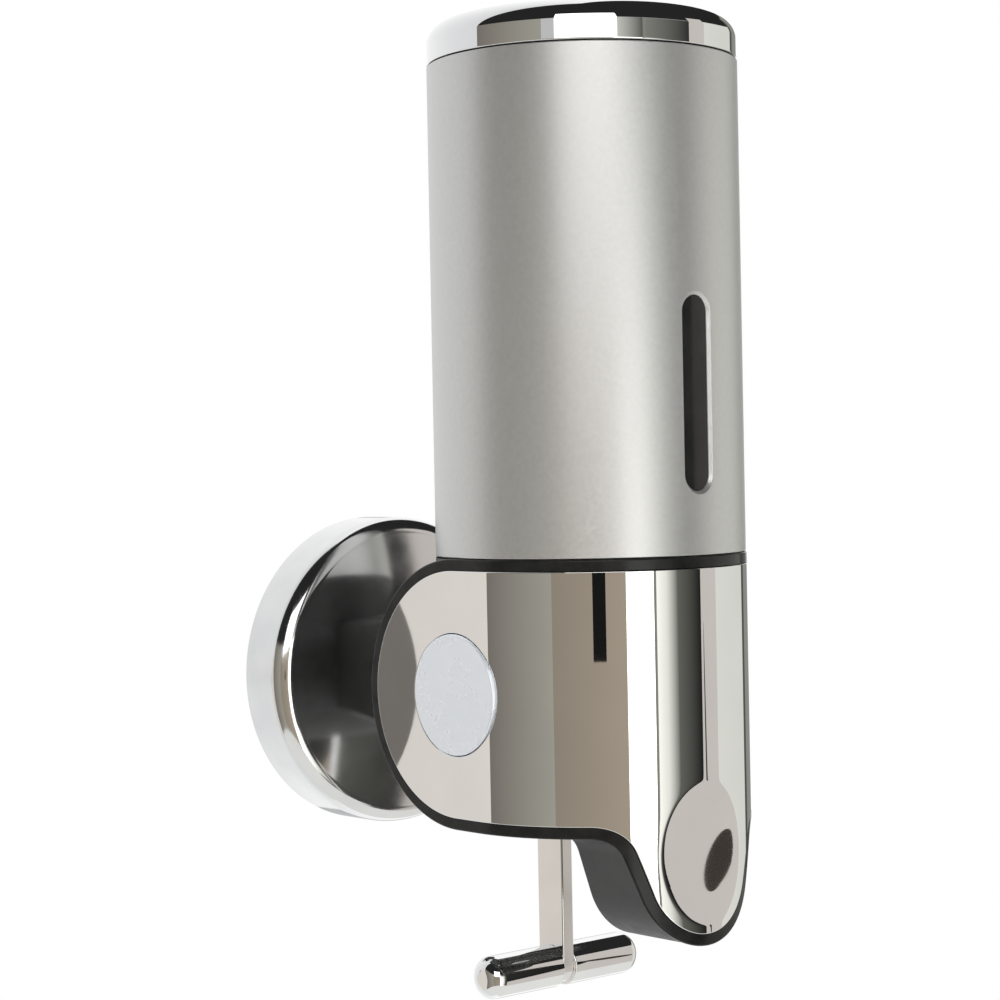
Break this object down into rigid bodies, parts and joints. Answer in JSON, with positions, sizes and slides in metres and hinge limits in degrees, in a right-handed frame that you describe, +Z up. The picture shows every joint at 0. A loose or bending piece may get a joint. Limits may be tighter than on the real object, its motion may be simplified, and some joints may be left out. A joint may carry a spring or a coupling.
{
  "type": "wall mounted soap dispenser",
  "caption": "Wall mounted liquid soap dispenser: round wall rose, silver reservoir tube over a chrome fronted pump housing, pulled by a T handle.",
  "frame": {"origin": "centre of the round wall rose, on the wall plane", "axes": "+Y into the wall, -Y towards the user, +Z up along the reservoir tube, +X to the user's right"},
  "size_m": [0.0776, 0.1214, 0.2275],
  "materials": {
    "chrome": "polished",
    "silver_paint": "satin metallic",
    "black_plastic": "gloss",
    "dark_plastic": "fine grain",
    "satin_disc": "satin",
    "smoked_lens": "smoked clear plastic",
    "clear_plastic": "frosted",
    "white_plastic": "moulded",
    "rubber": "soft",
    "steel_plate": "black zinc",
    "screw_steel": "zinc plated",
    "spring_steel": "drawn",
    "cast_metal": "as cast",
    "polished_steel": "polished"
  },
  "bodies": {
    "wall_unit": {"wall_plate": "steel_plate", "wall_rose": "chrome", "wall_arm": "black_plastic", "arm_screws": "screw_steel", "clamp_plate": "steel_plate", "clamp_screws": "screw_steel", "housing_body": "black_plastic", "front_plate": "chrome", "side_disc_left": "satin_disc", "side_disc_right": "satin_disc", "underside_cover": "dark_plastic", "cover_screws": "screw_steel", "tube_seat": "black_plastic", "seat_screws": "screw_steel", "tube_shell": "silver_paint", "window_lens": "smoked_lens", "reservoir": "clear_plastic", "reservoir_seal": "rubber", "pump_barrel": "white_plastic", "barrel_clip": "white_plastic", "barrel_gland": "white_plastic", "inlet_valve": "rubber", "pump_spring": "spring_steel", "pivot_pin": "spring_steel", "pivot_spacer_left": "white_plastic", "pivot_spacer_right": "white_plastic"},
    "cap": {"cap_shell": "chrome", "cap_liner": "black_plastic", "mouth_seal": "rubber"},
    "lever": {"lever_yoke": "cast_metal", "lever_bush": "white_plastic", "lever_strip": "polished_steel", "lever_rivets": "screw_steel", "handle_stud": "screw_steel", "handle_grip_left": "polished_steel", "handle_grip_right": "polished_steel"},
    "piston": {"piston_stem": "white_plastic", "piston_seal": "rubber", "lift_collar": "white_plastic", "outlet_nozzle": "dark_plastic", "outlet_valve": "rubber"}
  },
  "joints": [
    {"name": "lever_pull", "type": "hinge", "parent": "wall_unit", "child": "lever", "pos_m": [0, -0.078, 0], "axis": [-1, 0, 0], "range_deg": [0, 16], "stiffness_Nm_per_rad": 0.4, "springref_deg": -20.05},
    {"name": "piston_lift", "type": "slide", "parent": "wall_unit", "child": "piston", "axis": [0, 0, 1], "range_m": [0, 0.0085], "deforming": ["pump_spring"]},
    {"name": "cap_lift", "type": "slide", "parent": "wall_unit", "child": "cap", "axis": [0, 0, 1], "range_m": [0, 0.04]}
  ],
  "couplings": [
    {"joint": "piston_lift", "follows": "lever_pull", "m_per_rad": 0.03}
  ]
}
